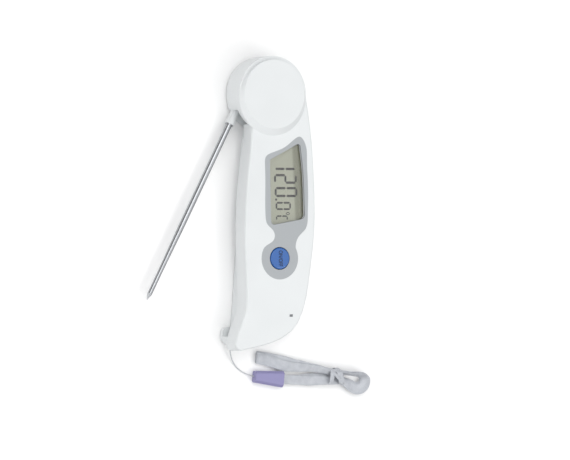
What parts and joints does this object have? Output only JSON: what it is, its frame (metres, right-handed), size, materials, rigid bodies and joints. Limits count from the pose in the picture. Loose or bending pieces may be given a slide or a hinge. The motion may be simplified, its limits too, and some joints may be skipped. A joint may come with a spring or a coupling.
{
  "type": "folding probe thermometer",
  "caption": "White pocket thermometer lying on its back, its pointed steel probe folded part out of the round head; grey display bezel, blue button and wrist strap.",
  "frame": {"origin": "where the axis of the folding probe meets the back of the thermometer", "axes": "+X across the handle to the right as the display is seen, +Y along the handle from the heel to the round head, +Z from the back to the display"},
  "size_m": [0.1362, 0.1792, 0.019],
  "materials": {
    "white_plastic": "satin white moulding",
    "bezel_grey": "satin grey",
    "clear_window": "clear",
    "display_glass": "reflective liquid crystal",
    "black_plastic": "moulded black",
    "blue_plastic": "gloss blue",
    "steel": "polished stainless",
    "spring_metal": "plated spring strip",
    "board": "green laminate",
    "seal_rubber": "soft",
    "zebra_rubber": "striped elastomer",
    "wire": "insulated wire",
    "cord_white": "twisted cord",
    "strap_grey": "woven tape",
    "lilac": "soft vinyl"
  },
  "bodies": {
    "handle": {"front_shell": "white_plastic", "rear_shell": "white_plastic", "head_cap": "white_plastic", "shell_gasket": "seal_rubber", "display_bezel": "bezel_grey", "display_window": "clear_window", "lcd_module": "display_glass", "lcd_frame": "black_plastic", "lcd_connectors": "zebra_rubber", "circuit_board": "board", "board_chips": "black_plastic", "button_switch": "black_plastic", "lead_loop": "wire", "coin_cell": "steel", "contact_minus": "spring_metal", "contact_plus": "spring_metal", "door_seal": "seal_rubber", "case_screws": "steel", "spring_washer": "steel", "lanyard_cord": "cord_white", "strap_ferrule": "lilac", "wrist_strap": "strap_grey", "strap_tie": "strap_grey"},
    "probe": {"probe_hub": "white_plastic", "hub_back_cover": "white_plastic", "hub_screws": "steel", "hub_seal": "seal_rubber", "probe_collar": "steel", "probe_tube": "steel", "sensor_bead": "black_plastic", "sensor_leads": "wire", "pivot_washer": "steel", "pivot_screw": "steel"},
    "button": {"button_cap": "blue_plastic", "switch_plunger": "black_plastic"},
    "battery_door": {"battery_door": "white_plastic"}
  },
  "joints": [
    {"name": "probe_swing", "type": "hinge", "parent": "handle", "child": "probe", "pos_m": [0, 0, 0], "axis": [0, 0, -1], "range_deg": [-23.6, 156.4]},
    {"name": "button_press", "type": "slide", "parent": "handle", "child": "button", "axis": [0, 0, -1], "range_m": [0, 0.0006], "stiffness_N_per_m": 1500},
    {"name": "battery_door_turn", "type": "hinge", "parent": "handle", "child": "battery_door", "pos_m": [0.0045, -0.104, 0], "axis": [0, 0, -1], "range_deg": [0, 45]}
  ]
}
